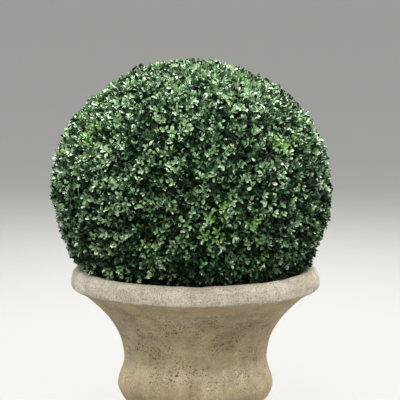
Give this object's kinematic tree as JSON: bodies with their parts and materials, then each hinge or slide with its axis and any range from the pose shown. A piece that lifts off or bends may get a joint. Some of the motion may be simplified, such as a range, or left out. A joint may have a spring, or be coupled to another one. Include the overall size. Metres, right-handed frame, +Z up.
{
  "type": "box topiary ball in a stone urn",
  "caption": "Clipped box shrub grown as a dense leafy ball, on a short branching stem in a footed cast stone urn.",
  "frame": {"origin": "middle of the flat underside of the urn's foot", "axes": "+Z up the urn's axis, -Y towards the viewer in front, +X to the viewer's right"},
  "size_m": [0.5801, 0.5794, 0.8581],
  "materials": {
    "cast_stone": "matte",
    "soil": "matte",
    "bark": "matte",
    "foliage": "satin"
  },
  "bodies": {
    "root": {"urn": "cast_stone", "soil": "soil", "stem": "bark", "bough_1": "bark", "bough_2": "bark", "bough_3": "bark", "bough_4": "bark", "bough_5": "bark", "crown": "foliage"}
  },
  "joints": []
}
